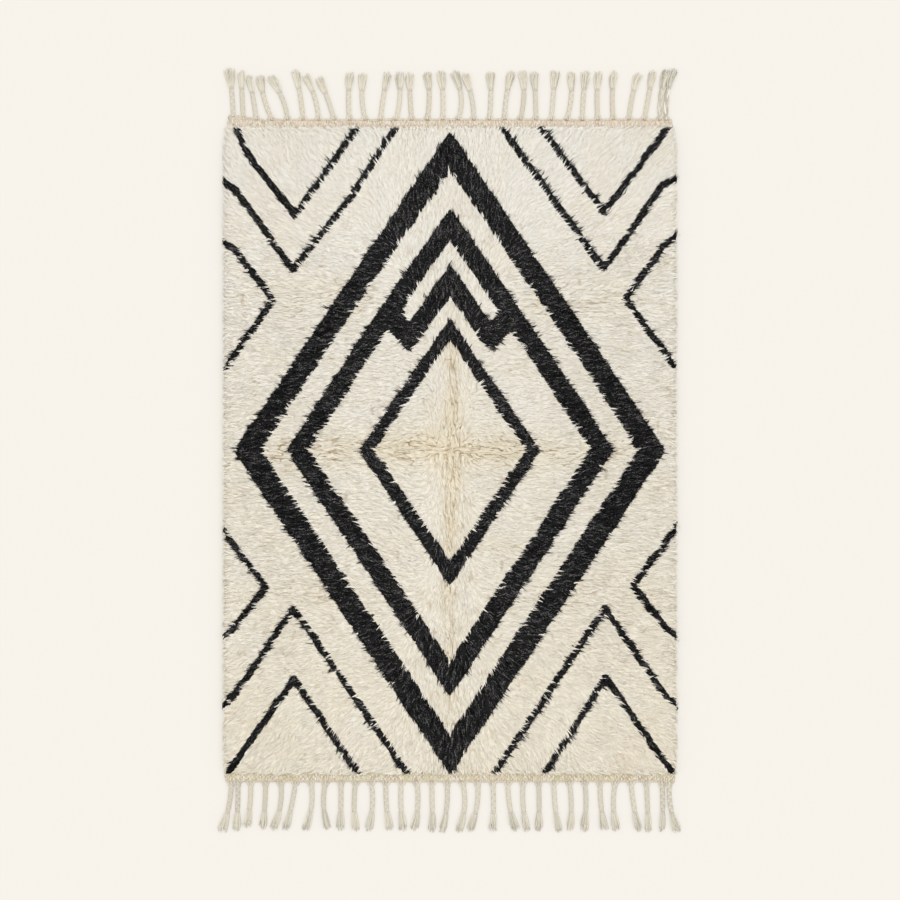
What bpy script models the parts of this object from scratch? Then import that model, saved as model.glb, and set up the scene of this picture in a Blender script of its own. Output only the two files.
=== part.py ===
"""Berber wool rug, lying flat: a knotted pile field and, at each end, a flat-woven band with plaited tassels.

The rug lies on z = 0 with its width along X and its length along Y. The origin is under its centre.
Units are metres.
"""
import math

import bmesh
import bpy
import numpy as np
from mathutils import Matrix, Vector

# Driving dimensions of the whole rug
FIELD_WIDTH = 1.600        # pile field, over the locks of both sides
FIELD_LENGTH = 2.256       # pile field, over the locks of both ends
PILE_HEIGHT = 0.024        # top of the lying pile, ground weave included
BAND_REACH = 1.161         # from the rug's centre to the outer edge of each flat-woven band
FRINGE_REACH = 1.333       # from the rug's centre to the tip of the longest tassels
JOIN_GAP = 0.0004          # parting between the pile field and each band

# Pile field
SIDE_LOCK_PROUD = 0.014    # how far the side locks stand out of the slab's wall
END_LOCK_PROUD = 0.010     # the same at the ends, where they lie over the bands
SHOULDER = 0.026           # width of the sloping shoulder round the rim
RIM_HEIGHT = 0.0170        # height of the wall under the shoulder
FOOT_TUCK = 0.003          # how far the wall's foot is drawn in
END_DRAW_IN = 0.009        # each side comes in by this much at the ends
DRAW_IN_FROM = 0.95        # distance from the centre where the sides begin to come in
GRID_COLUMNS = 30
GRID_ROWS = 44
LUMP = 0.0016              # standard height of the pile's lumps
CREASE_DEPTH = 0.0045      # soft trough along both fold lines of the rug
CREASE_HALF_WIDTH = 0.050
LUMP_SEED = 11

# Locks round the rim of the pile: one row for the sides, one for the ends
LOCK_RUNS = {
    #         pitch    root width  root height  axis height  droop
    "side": (0.0345, 0.0270, 0.0105, 0.0090, 0.0025),
    "end": (0.0362, 0.0260, 0.0074, 0.0112, 0.0008),
}
LOCK_TIP_SHARE = 0.22      # width of a lock's tip against its root
LOCK_ROOT_DEPTH = 0.012    # how far a lock is rooted in the slab
LOCK_LEAN = 0.42           # largest sideways lean, as a slope
LOCK_CORNER_CLEAR = 0.030  # no lock is rooted nearer to a corner than this
LOCK_SEED = 23

# Flat-woven bands
BAND_THICKNESS = 0.006
BAND_HALF_WIDTH_INNER = 0.780
BAND_HALF_WIDTH_OUTER = 0.769
BAND_SEGMENTS = 36
BAND_EDGE_WAVE = 0.0014    # unevenness of the band's outer edge

# One tassel: a row for each section, from inside the band to the tip of its brush
TASSEL_SECTIONS = (
    # share of reach, cord width, spread into the brush, height, underside
    (0.000, 0.0130, 0.00, 0.0046, 0.0007),
    (0.055, 0.0140, 0.00, 0.0052, 0.0004),
    (0.130, 0.0165, 0.00, 0.0100, 0.0),
    (0.340, 0.0180, 0.00, 0.0125, 0.0),
    (0.560, 0.0175, 0.00, 0.0125, 0.0),
    (0.640, 0.0165, 0.00, 0.0125, 0.0),
    (0.680, 0.0210, 0.00, 0.0145, 0.0),
    (0.730, 0.0160, 0.00, 0.0115, 0.0),
    (0.860, 0.0160, 0.64, 0.0100, 0.0),
    (1.000, 0.0160, 1.00, 0.0060, 0.0),
)
TASSEL_ROOT_DEPTH = 0.008  # length of each tassel inside the band
TASSEL_CROWN_SHARE = 0.56  # width of a tassel's top face against its underside
TASSEL_KNEE_SHARE = 0.62   # where along the reach the knee of a tassel lies

# Where the tassels are rooted along each band: an even run, and the closer ones tucked in at its corners
FRINGE_ROOTS = {
    #        first    pitch    count  left corner         right corner
    "head": (-0.677, 0.0543, 27, (-0.7575, -0.7225), (0.7640,)),
    "foot": (-0.698, 0.0533, 28, (-0.7630, -0.7340), (0.7680,)),
}
# How each tassel lies, from left to right, in mm:
# sideways shift of its knee, sideways shift of its tip, how much shorter it is, and the width of its brush
FRINGE_LIE = {
    "head": (
        (-7, -14, 0, 38), (-6, -8, 5, 22), (-15, -26, 25, 24), (-33, -42, 25, 30), (-27, -60, 25, 30),
        (-14, -28, 4, 28), (-20, -47, 20, 26), (-30, -54, 28, 30), (-3, 2, 12, 30), (-11, -6, 15, 30),
        (14, 27, 12, 30), (14, 9, 10, 30), (-6, -7, 14, 30), (7, 0, 10, 30), (0, -6, 8, 32),
        (7, -16, 8, 32), (-12, -32, 16, 28), (6, 3, 12, 32), (10, 24, 10, 30), (13, 6, 8, 30),
        (-2, -6, 12, 30), (9, 14, 6, 34), (17, 14, 12, 30), (6, 13, 8, 32), (-2, 2, 10, 30),
        (-3, 2, 8, 30), (17, 34, 14, 30), (19, 30, 6, 28), (0, 6, 4, 20), (7, 16, 0, 34),
    ),
    "foot": (
        (-9, -30, 2, 34), (-1, -6, 6, 24), (-2, -6, 14, 30), (-4, -10, 12, 30), (-5, -26, 10, 32),
        (-19, -36, 6, 30), (0, -19, 8, 30), (-6, 7, 12, 30), (0, -2, 8, 32), (-6, 0, 6, 30),
        (3, -10, 6, 32), (3, 13, 8, 30), (0, 7, 6, 32), (3, -9, 8, 32), (2, 2, 2, 30),
        (-3, -17, 0, 28), (6, -13, 2, 30), (-6, -28, 4, 32), (3, 0, 4, 32), (10, 27, 6, 32),
        (2, 14, 4, 28), (2, 0, 6, 30), (7, 18, 2, 28), (7, 2, 6, 28), (4, -3, 4, 32),
        (6, 16, 6, 32), (-6, 3, 6, 32), (14, 27, 4, 28), (5, 7, 2, 28), (3, 0, 4, 24),
        (8, 29, 0, 34),
    ),
}


def clear_scene():
    """Empty the scene of every object."""
    for obj in list(bpy.data.objects):
        bpy.data.objects.remove(obj, do_unlink=True)


def make_collection(name):
    """A collection under the scene."""
    collection = bpy.data.collections.new(name)
    bpy.context.scene.collection.children.link(collection)
    return collection


def wool_material(name, colour, roughness):
    """Undyed or dyed wool: a rough, non-metallic surface."""
    material = bpy.data.materials.new(name)
    material.use_nodes = True
    shader = material.node_tree.nodes["Principled BSDF"]
    shader.inputs["Base Color"].default_value = (*colour, 1.0)
    shader.inputs["Roughness"].default_value = roughness
    shader.inputs["Metallic"].default_value = 0.0
    return material


def object_from(bm, name, collection, material=None):
    """Turn a bmesh into an object with its faces pointing out."""
    bmesh.ops.recalc_face_normals(bm, faces=bm.faces[:])
    mesh = bpy.data.meshes.new(name)
    bm.to_mesh(mesh)
    bm.free()
    obj = bpy.data.objects.new(name, mesh)
    collection.objects.link(obj)
    if material is not None:
        mesh.materials.append(material)
    return obj


def hide_guide(obj):
    """A guide body is drawn as wire and left out of the render."""
    obj.hide_render = True
    obj.display_type = "WIRE"


def fuse(body, added):
    """Join a guide's bodies to an object with a Boolean union."""
    union = body.modifiers.new("fuse", "BOOLEAN")
    union.operation = "UNION"
    union.solver = "EXACT"
    union.object = added


def wall_half_width(y):
    """Half the slab's width at y: even along the middle, drawn in towards both ends."""
    ends = FIELD_LENGTH / 2 - DRAW_IN_FROM
    share = min(max((abs(y) - DRAW_IN_FROM) / ends, 0.0), 1.0)
    return FIELD_WIDTH / 2 - SIDE_LOCK_PROUD - END_DRAW_IN * share ** 2


def wall_half_length():
    """Half the slab's length, under the locks that lie over the bands."""
    return FIELD_LENGTH / 2 - END_LOCK_PROUD


def pile_top(x, y):
    """Height of the lying pile: level, with a soft trough along each of the two fold lines, which wander a little."""
    off_length_fold = (x - 0.010 * math.sin(4.1 * y + 0.6)) / CREASE_HALF_WIDTH
    off_width_fold = (y - 0.008 * math.sin(6.3 * x + 1.9)) / CREASE_HALF_WIDTH
    trough = max(math.exp(-off_length_fold ** 2), math.exp(-off_width_fold ** 2))
    return PILE_HEIGHT - CREASE_DEPTH * trough


def extrude_rim(bm):
    """Extrude the open border of a sheet and return the new border's points."""
    border = [edge for edge in bm.edges if edge.is_boundary]
    made = bmesh.ops.extrude_edge_only(bm, edges=border)
    return [item for item in made["geom"] if isinstance(item, bmesh.types.BMVert)]


def make_pile_field(collection, guides, material):
    """The knotted field: a lumpy slab with a sloping shoulder, a flat underside, and locks round its rim."""
    rng = np.random.default_rng(LUMP_SEED)
    bm = bmesh.new()
    bmesh.ops.create_grid(bm, x_segments=GRID_COLUMNS, y_segments=GRID_ROWS, size=1.0)
    for vert in bm.verts:
        y = vert.co.y * (wall_half_length() - SHOULDER)
        x = vert.co.x * (wall_half_width(y) - SHOULDER)
        lump = float(np.clip(rng.normal(0.0, LUMP), -2 * LUMP, 2 * LUMP))
        vert.co = Vector((x, y, pile_top(x, y) + lump))

    half_length = wall_half_length()
    for vert in extrude_rim(bm):
        y = vert.co.y * half_length / (half_length - SHOULDER)
        inner = wall_half_width(vert.co.y) - SHOULDER
        x = vert.co.x * wall_half_width(y) / inner
        vert.co = Vector((x, y, RIM_HEIGHT + float(rng.uniform(-LUMP, 0.0))))
    for vert in extrude_rim(bm):
        x = vert.co.x - math.copysign(FOOT_TUCK, vert.co.x) * abs(vert.co.x) / wall_half_width(vert.co.y)
        y = vert.co.y - math.copysign(FOOT_TUCK, vert.co.y) * abs(vert.co.y) / half_length
        vert.co = Vector((x, y, 0.0))
    bmesh.ops.holes_fill(bm, edges=[edge for edge in bm.edges if edge.is_boundary], sides=0)
    field = object_from(bm, "pile_field", collection, material)

    locks = make_rim_locks(guides)
    fuse(field, locks)
    return field


def add_lock(bm, run, root, outward, along, rng, proud):
    """One pointed lock: a four-sided cone rooted in the slab, leaning along the rim and drooping to its tip."""
    _, width, height, axis_height, droop = LOCK_RUNS[run]
    lean = float(rng.uniform(-LOCK_LEAN, LOCK_LEAN))
    reach = LOCK_ROOT_DEPTH + proud * float(rng.uniform(0.72, 1.0))
    start = root - outward * LOCK_ROOT_DEPTH
    tip = start + outward * reach + along * (lean * reach)
    start.z = axis_height
    tip.z = axis_height - droop * float(rng.uniform(0.4, 1.0))
    run_vector = tip - start
    turn = run_vector.to_track_quat("Z", "Y").to_matrix().to_4x4()
    flatten = Matrix.Diagonal((width * math.sqrt(0.5), height * math.sqrt(0.5), 1.0, 1.0))
    square = Matrix.Rotation(math.radians(45.0), 4, "Z")
    place = Matrix.Translation((start + tip) / 2) @ turn @ flatten @ square
    bmesh.ops.create_cone(bm, cap_ends=True, cap_tris=False, segments=4, radius1=1.0,
                          radius2=LOCK_TIP_SHARE, depth=run_vector.length, matrix=place)


def make_rim_locks(guides):
    """All the locks of the rim, as separate closed bodies in one guide mesh."""
    rng = np.random.default_rng(LOCK_SEED)
    bm = bmesh.new()
    half_length = wall_half_length()

    side_span = 2 * (half_length - LOCK_CORNER_CLEAR)
    side_count = int(side_span // LOCK_RUNS["side"][0])
    for side in (-1.0, 1.0):
        for step in range(side_count + 1):
            y = -side_span / 2 + step * side_span / side_count
            root = Vector((side * wall_half_width(y), y, 0.0))
            add_lock(bm, "side", root, Vector((side, 0, 0)), Vector((0, 1, 0)), rng, SIDE_LOCK_PROUD)

    end_span = 2 * (wall_half_width(half_length) - LOCK_CORNER_CLEAR)
    end_count = int(end_span // LOCK_RUNS["end"][0])
    for end in (-1.0, 1.0):
        for step in range(end_count + 1):
            x = -end_span / 2 + step * end_span / end_count
            root = Vector((x, end * half_length, 0.0))
            add_lock(bm, "end", root, Vector((0, end, 0)), Vector((1, 0, 0)), rng, END_LOCK_PROUD)

    locks = object_from(bm, "rim_locks", guides)
    hide_guide(locks)
    return locks


def make_band(name, end, collection, material):
    """One flat-woven band: a thin strip, a little narrower at its outer edge, which is slightly uneven."""
    inner = wall_half_length() + JOIN_GAP
    bm = bmesh.new()
    bmesh.ops.create_cube(bm, size=2.0)
    crosswise = [edge for edge in bm.edges
                 if abs(edge.verts[0].co.x - edge.verts[1].co.x) > 1.0]
    bmesh.ops.subdivide_edges(bm, edges=crosswise, cuts=BAND_SEGMENTS - 1, use_grid_fill=True)
    for vert in bm.verts:
        u, v, w = vert.co
        outer = v > 0
        half_width = BAND_HALF_WIDTH_OUTER if outer else BAND_HALF_WIDTH_INNER
        wave = BAND_EDGE_WAVE * (math.sin(9.0 * u + end) + 0.6 * math.sin(23.0 * u)) if outer else 0.0
        distance = BAND_REACH - BAND_EDGE_WAVE + wave if outer else inner
        vert.co = Vector((u * half_width, end * distance, BAND_THICKNESS if w > 0 else 0.0))
    return object_from(bm, name, collection, material)


def tassel_shift(share, knee, tip):
    """Sideways shift along a tassel: the parabola through its root, its knee and its tip."""
    knee_share = TASSEL_KNEE_SHARE
    bow = (knee - tip * knee_share) / (knee_share * (knee_share - 1.0))
    return share * (tip + bow * (share - 1.0))


def add_tassel(bm, end, root_x, lie):
    """One tassel: a four-sided body lofted through its sections, level on the floor beyond the band."""
    knee, tip, shorter, brush = (value / 1000.0 for value in lie)
    start = BAND_REACH - TASSEL_ROOT_DEPTH
    reach = FRINGE_REACH - shorter - start
    last = len(TASSEL_SECTIONS) - 1
    cage = bmesh.new()
    bmesh.ops.create_cube(cage, size=2.0)
    lengthwise = [edge for edge in cage.edges
                  if abs(edge.verts[0].co.y - edge.verts[1].co.y) > 1.0]
    bmesh.ops.subdivide_edges(cage, edges=lengthwise, cuts=last - 1, use_grid_fill=True)
    for vert in cage.verts:
        u, v, w = vert.co
        share, cord, spread, height, underside = TASSEL_SECTIONS[round((v + 1.0) / 2.0 * last)]
        width = cord + spread * (brush - cord)
        if w > 0:
            width *= TASSEL_CROWN_SHARE
        x = root_x + tassel_shift(share, knee, tip) + u * width / 2
        vert.co = Vector((x, end * (start + share * reach), underside + height if w > 0 else underside))
    tassel = bpy.data.meshes.new("tassel")
    cage.to_mesh(tassel)
    cage.free()
    bm.from_mesh(tassel)
    bpy.data.meshes.remove(tassel)


def fringe_roots(name):
    """Where the tassels of one band are rooted, from left to right."""
    first, pitch, count, left, right = FRINGE_ROOTS[name]
    return list(left) + [first + pitch * step for step in range(count)] + list(right)


def make_fringe(name, end, collection, guides, material):
    """A band with its row of tassels fused along the outer edge."""
    band = make_band("fringe_" + name, end, collection, material)
    bm = bmesh.new()
    for root_x, lie in zip(fringe_roots(name), FRINGE_LIE[name]):
        add_tassel(bm, end, root_x, lie)
    tassels = object_from(bm, "tassels_" + name, guides)
    hide_guide(tassels)
    fuse(band, tassels)
    return band


clear_scene()
rug = make_collection("berber_rug")
guides = make_collection("guides")
make_pile_field(rug, guides, wool_material("pile_wool", (0.74, 0.70, 0.60), 0.95))
band_wool = wool_material("band_wool", (0.68, 0.60, 0.49), 0.95)
make_fringe("head", 1.0, rug, guides, band_wool)
make_fringe("foot", -1.0, rug, guides, band_wool)
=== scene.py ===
import bpy
import numpy as np
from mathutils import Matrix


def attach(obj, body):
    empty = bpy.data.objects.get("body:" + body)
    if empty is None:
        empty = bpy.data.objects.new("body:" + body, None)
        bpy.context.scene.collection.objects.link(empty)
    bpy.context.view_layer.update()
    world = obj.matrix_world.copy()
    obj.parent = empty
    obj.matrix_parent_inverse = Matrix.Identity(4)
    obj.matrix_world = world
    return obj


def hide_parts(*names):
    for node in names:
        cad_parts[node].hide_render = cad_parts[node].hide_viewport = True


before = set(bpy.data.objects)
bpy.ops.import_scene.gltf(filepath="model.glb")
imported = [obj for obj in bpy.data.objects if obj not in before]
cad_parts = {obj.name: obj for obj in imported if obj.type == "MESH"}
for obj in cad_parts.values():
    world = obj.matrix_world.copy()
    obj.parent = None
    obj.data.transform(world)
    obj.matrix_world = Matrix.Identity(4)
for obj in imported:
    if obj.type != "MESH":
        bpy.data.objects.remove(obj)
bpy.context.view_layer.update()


# ---------------------------------------------------------------------------------------------------------
# Studio. The rug lies pile up on a plain, warm white floor and is seen from straight above, in soft light
# from all round with a little more of it from the head end's right.

PIXEL = 0.003493
PICTURE_PIXELS = 900
LENS_MM = 100
SENSOR_MM = 36
PILE_TOP = 0.021
FLOOR_COLOUR = (0.472, 0.456, 0.424, 1)
FLOOR_GLOW = (0.393, 0.378, 0.352, 1)
FLOOR_HALF = 60

camera_data = bpy.data.cameras.new("camera")
camera_data.lens = LENS_MM
camera_data.sensor_width = SENSOR_MM
camera = bpy.data.objects.new("camera", camera_data)
camera.location = (0, PIXEL / 2, PILE_TOP + PICTURE_PIXELS * PIXEL * LENS_MM / SENSOR_MM)
bpy.context.scene.collection.objects.link(camera)
bpy.context.scene.camera = camera
bpy.context.scene.view_settings.view_transform = "Standard"

world = bpy.data.worlds.new("soft_room")
world.use_nodes = True
world.node_tree.nodes["Background"].inputs["Color"].default_value = (1, 0.995, 0.985, 1)
world.node_tree.nodes["Background"].inputs["Strength"].default_value = 1.05
bpy.context.scene.world = world

key_data = bpy.data.lights.new("key", "SUN")
key_data.energy = 0.45
key_data.angle = 0.9
key = bpy.data.objects.new("key", key_data)
key.rotation_euler = (-0.62, 0.52, 0)
bpy.context.scene.collection.objects.link(key)


def place(tree, kind, inputs=None, **settings):
    """A node of this kind in the tree. Settings are its own, and an input is given a value or, from another
    node's output, a link."""
    made = tree.nodes.new(kind)
    for setting, value in settings.items():
        setattr(made, setting, value)
    for socket, value in (inputs or {}).items():
        if isinstance(value, bpy.types.NodeSocket):
            tree.links.new(value, made.inputs[socket])
        else:
            made.inputs[socket].default_value = value
    return made


def new_material(name):
    """A material with an empty node tree but for its Principled shader, and that shader."""
    material = bpy.data.materials.new(name)
    material.use_nodes = True
    return material, material.node_tree, material.node_tree.nodes["Principled BSDF"]


floor_material, _, floor_shader = new_material("floor_paper")
floor_shader.inputs["Base Color"].default_value = FLOOR_COLOUR
floor_shader.inputs["Emission Color"].default_value = FLOOR_GLOW
floor_shader.inputs["Emission Strength"].default_value = 1
floor_shader.inputs["Roughness"].default_value = 1
floor_shader.inputs["Specular IOR Level"].default_value = 0
floor_mesh = bpy.data.meshes.new("floor")
floor_mesh.from_pydata([(-FLOOR_HALF, -FLOOR_HALF, -0.001), (FLOOR_HALF, -FLOOR_HALF, -0.001),
                        (FLOOR_HALF, FLOOR_HALF, -0.001), (-FLOOR_HALF, FLOOR_HALF, -0.001)],
                       [], [(0, 1, 2, 3)])
floor_mesh.materials.append(floor_material)
floor = bpy.data.objects.new("floor", floor_mesh)
bpy.context.scene.collection.objects.link(floor)


# ---------------------------------------------------------------------------------------------------------
# Ground weave. The rug's carrier: wool warps and wefts with the knots tied round them, so its back shows
# each knot in the colour of its pile. It lies flat on the floor and ends at each side in a corded selvedge.

FIELD_HALF = np.array([0.786, 1.118])
END_DRAW_IN = (0.010, 0.004)
DRAW_IN_FROM = 1.05
KNOT = 0.012
BACK_RELIEF = 0.0007
WEAVE_TOP = 0.0045
SELVEDGE_RADIUS = 0.0040
HIDDEN_COLUMNS = 15
KNOTS_TO_SIDE = 65
KNOTS_TO_END = 93
SELVEDGE_STEPS = 4
LATTICE = 512
LATTICE_SHIFT = (200.37, 211.61)


def drift(x, y, size_x, size_y, seed):
    """Random numbers from -1 to 1 at the corners of a lattice with cells of size_x by size_y metres, eased
    from corner to corner by t * t * (3 - 2 t) in both directions."""
    table = np.random.default_rng(seed).uniform(-1, 1, (LATTICE, LATTICE))
    u = x / size_x + LATTICE_SHIFT[0]
    v = y / size_y + LATTICE_SHIFT[1]
    i = np.floor(u).astype(int)
    j = np.floor(v).astype(int)
    s = (u - i) ** 2 * (3 - 2 * (u - i))
    t = (v - j) ** 2 * (3 - 2 * (v - j))
    near = table[i % LATTICE, j % LATTICE] * (1 - s) + table[(i + 1) % LATTICE, j % LATTICE] * s
    far = table[i % LATTICE, (j + 1) % LATTICE] * (1 - s) + table[(i + 1) % LATTICE, (j + 1) % LATTICE] * s
    return near * (1 - t) + far * t


def draw_in(y):
    """How far the sides are drawn in at y: the square of the share of the way to the end, times the most,
    which is more at the head."""
    share = np.clip((np.abs(y) - DRAW_IN_FROM) / (FIELD_HALF[1] - DRAW_IN_FROM), 0, 1.1)
    return np.where(y > 0, *END_DRAW_IN) * share ** 2


# The drawing that is knotted into the pile: three nested lozenges round the rug's middle, a zigzag inside
# the second one's head, and thin lines in the corners and at the sides. Metres from the middle.
# Each lozenge is a band between two outlines: reach to the head, right, foot and left, then the bows.
# The reaches, and over half of the lines' corners, were fitted to the photo by a scratch script.
LOZENGES = [
    ((1.116, 0.755, 1.135, 0.756, 1.005, 1.00), (0.973, 0.655, 0.990, 0.658, 1.020, 1.00)),
    ((0.846, 0.572, 0.860, 0.571, 1.020, 1.00), (0.731, 0.489, 0.737, 0.492, 1.020, 0.99)),
    ((0.466, 0.318, 0.478, 0.322, 0.990, 0.98), (0.383, 0.263, 0.385, 0.263, 1.010, 1.00)),
]
ZIGZAG_PEAK = 0.651
ZIGZAG_INNER_PEAK = 0.536
ZIGZAG_SLOPE = 0.705
ZIGZAG_VALLEY = (0.146, 0.339)
ZIGZAG_NOTCH_RISE = 1.17
ZIGZAG_STRIP_END = (0.146, 0.443)
ZIGZAG_STRIP_RISE = 2.7
LINE_WIDTH = 0.0232
LINES = [
    [(-0.749, 1.130), (-0.716, 1.050), (-0.542, 0.820), (-0.324, 1.130)],
    [(-0.800, 0.945), (-0.745, 0.905), (-0.548, 0.632), (-0.345, 0.890), (-0.190, 1.130)],
    [(-0.800, 0.735), (-0.750, 0.700), (-0.618, 0.527), (-0.780, 0.295)],
    [(0.317, 1.130), (0.538, 0.832), (0.765, 1.134)],
    [(0.181, 1.130), (0.537, 0.634), (0.738, 0.925), (0.800, 0.956)],
    [(0.800, 0.755), (0.745, 0.715), (0.613, 0.531), (0.782, 0.295)],
    [(-0.800, -0.270), (-0.643, -0.477), (-0.757, -0.625), (-0.800, -0.652)],
    [(-0.800, -0.892), (-0.752, -0.855), (-0.546, -0.553), (-0.148, -1.130)],
    [(-0.779, -1.130), (-0.545, -0.797), (-0.323, -1.130)],
    [(0.800, -0.258), (0.639, -0.472), (0.757, -0.625), (0.800, -0.655)],
    [(0.800, -0.894), (0.752, -0.857), (0.541, -0.551), (0.154, -1.130)],
    [(0.779, -1.130), (0.542, -0.794), (0.332, -1.130)],
]


def in_lozenge(x, y, head, right, foot, left, head_bow, foot_bow):
    """Where (|x| / side reach) ** bow + (|y| / end reach) ** bow is under 1. With a bow of 1 the sides are
    straight."""
    bow = np.where(y > 0, head_bow, foot_bow)
    across = np.abs(x) / np.where(x > 0, right, left)
    along = np.abs(y) / np.where(y > 0, head, foot)
    return across ** bow + along ** bow < 1


def on_line(x, y, corners, width):
    """Where the nearest point of a line through these corners is under half its width away."""
    nearest = np.full(np.shape(x), 9.0)
    for (ax, ay), (bx, by) in zip(corners, corners[1:]):
        run = (bx - ax) ** 2 + (by - ay) ** 2
        share = np.clip(((x - ax) * (bx - ax) + (y - ay) * (by - ay)) / run, 0, 1)
        away = np.hypot(x - ax - share * (bx - ax), y - ay - share * (by - ay))
        nearest = np.minimum(nearest, away)
    return nearest < width / 2


def is_charcoal(x, y):
    """Which points of the pile are knotted in charcoal wool. The knots of a row are counted by eye, so the
    drawing wavers by a few millimetres."""
    px = x + 0.0035 * drift(x, y, 0.035, 0.035, 11)
    py = y + 0.0035 * drift(x, y, 0.035, 0.035, 12)
    dark = np.zeros(np.shape(x), bool)
    for outer, inner in LOZENGES:
        dark |= in_lozenge(px, py, *outer) & ~in_lozenge(px, py, *inner)
    side = np.abs(px)
    outside_peak = side > ZIGZAG_SLOPE * (ZIGZAG_PEAK - py)
    under_peak = side < ZIGZAG_SLOPE * (ZIGZAG_INNER_PEAK - py)
    over_valley = py > ZIGZAG_VALLEY[1] + ZIGZAG_NOTCH_RISE * np.maximum(side - ZIGZAG_VALLEY[0], 0)
    strip = py > ZIGZAG_STRIP_END[1] + ZIGZAG_STRIP_RISE * np.maximum(side - ZIGZAG_STRIP_END[0], 0)
    zigzag = over_valley & ~under_peak & ~(outside_peak & strip)
    dark |= zigzag & in_lozenge(px, py, *LOZENGES[1][1])
    for corners in LINES:
        dark |= on_line(px, py, corners, LINE_WIDTH)
    return dark


def tube_faces(rings, around):
    """Corner numbers of a closed tube: quads between each ring of points and the next, all the way round,
    and a cap on each end. The rings run anticlockwise as seen from the far end."""
    first = (np.arange(rings - 1)[:, None] * around + np.arange(around)).ravel()
    beside = (np.arange(rings - 1)[:, None] * around + (np.arange(around) + 1) % around).ravel()
    quads = np.stack([first, beside, beside + around, first + around], 1)
    caps = np.stack([np.arange(around)[::-1], np.arange(around) + (rings - 1) * around])
    return quads, caps


def wool_piece(name, points, faces, material, smooth=True):
    """A piece from whole arrays: its points, and its faces as arrays of corner numbers, one array for each
    number of corners. It rides on the rug's one body and sits at the origin."""
    corners = np.concatenate([np.asarray(f).ravel() for f in faces]).astype(np.int32)
    counts = np.concatenate([np.full(len(f), np.shape(f)[1]) for f in faces])
    mesh = bpy.data.meshes.new(name)
    mesh.vertices.add(len(points))
    mesh.vertices.foreach_set("co", np.ascontiguousarray(points, np.float32).ravel())
    mesh.loops.add(len(corners))
    mesh.loops.foreach_set("vertex_index", corners)
    mesh.polygons.add(len(counts))
    mesh.polygons.foreach_set("loop_start", (np.cumsum(counts) - counts).astype(np.int32))
    mesh.polygons.foreach_set("use_smooth", np.full(len(counts), smooth))
    mesh.update(calc_edges=True)
    mesh.materials.append(material)
    piece = bpy.data.objects.new(name, mesh)
    bpy.context.scene.collection.objects.link(piece)
    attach(piece, "root")
    return piece


def give(piece, name, values, domain="POINT"):
    """Numbers that the piece's material reads by this name, one for each point or face."""
    held = piece.data.attributes.new(name, "FLOAT", domain)
    held.data.foreach_set("value", np.ascontiguousarray(values, np.float32).ravel())


def give_map(piece, u, v):
    """The piece's map for baking, one place for each point."""
    corners = np.empty(len(piece.data.loops), np.int32)
    piece.data.loops.foreach_get("vertex_index", corners)
    places = np.stack([u[corners], v[corners]], 1)
    piece.data.uv_layers.new(name="OFBake").data.foreach_set("uv", places.astype(np.float32).ravel())


def slab_points(under_x, over_x, y, top, bottom, side_bulge, steps):
    """A closed lumpy slab as rings across the rug, one ring for each y: along the underside from left to
    right, up the right side on a half circle that bulges out, back along the top, and down the left side.
    The x of the two faces are for the rug's middle, and shrink with its width. Under and top heights are
    functions of x and y. Returns points, rings and points a ring."""
    turn = np.linspace(0, np.pi, steps + 2)[1:-1]
    half = (under_x[-1] - draw_in(y))[:, None]
    under = half * under_x / under_x[-1]
    over = half * over_x[::-1] / over_x[-1]
    rise = (1 - np.cos(turn)) / 2
    right = half + side_bulge * np.sin(turn)
    x = np.concatenate([under, right, over, -right[:, ::-1]], 1)
    ys = np.repeat(y[:, None], x.shape[1], 1)
    low = bottom(under, y[:, None] + 0 * under)
    high = top(over, y[:, None] + 0 * over)
    right_z = low[:, -1:] + (high[:, :1] - low[:, -1:]) * rise
    left_z = low[:, :1] + (high[:, -1:] - low[:, :1]) * rise[::-1]
    z = np.concatenate([low, right_z, high, left_z], 1)
    return np.stack([x, ys, z], 2).reshape(-1, 3), len(y), x.shape[1]


def back_height(x, y):
    """Underside of the weave: knots stand out in turn, one row raised and the next drawn in."""
    raised = np.cos(np.pi * np.round(y / KNOT)) * np.cos(np.pi * np.round(x / KNOT))
    return BACK_RELIEF * (1 - raised)


def weave_top(x, y):
    """Top of the weave, level under the pile."""
    return np.full(np.broadcast(x, y).shape, WEAVE_TOP)


def object_place(tree):
    """Where on the piece a point is, in metres."""
    return place(tree, "ShaderNodeTexCoord").outputs["Object"]


def read_number(tree, name):
    """The piece's own numbers of this name."""
    return place(tree, "ShaderNodeAttribute", attribute_name=name).outputs["Fac"]


def noise(tree, vector, scale, detail, roughness=0.5):
    """Noise of this fineness, round a half."""
    return place(tree, "ShaderNodeTexNoise", {"Vector": vector, "Scale": scale, "Detail": detail,
                                              "Roughness": roughness}).outputs["Fac"]


def waves(tree, vector, scale, distortion, direction):
    """Waves that follow one another in this direction."""
    return place(tree, "ShaderNodeTexWave", {"Vector": vector, "Scale": scale, "Distortion": distortion,
                                             "Detail": 1}, bands_direction=direction).outputs["Fac"]


def blend(tree, factor, first, second, blend_type="MIX"):
    """Two colours, each given or from another node, blended by the factor."""
    return place(tree, "ShaderNodeMix", {"Factor": factor, 6: first, 7: second}, data_type="RGBA",
                 blend_type=blend_type).outputs[2]


def show(tree, shader, colour, height, distance, strength):
    """Gives the shader its colour, and a bump of this height."""
    bump = place(tree, "ShaderNodeBump", {"Height": height, "Distance": distance, "Strength": strength})
    tree.links.new(colour, shader.inputs["Base Color"])
    tree.links.new(bump.outputs["Normal"], shader.inputs["Normal"])


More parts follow.
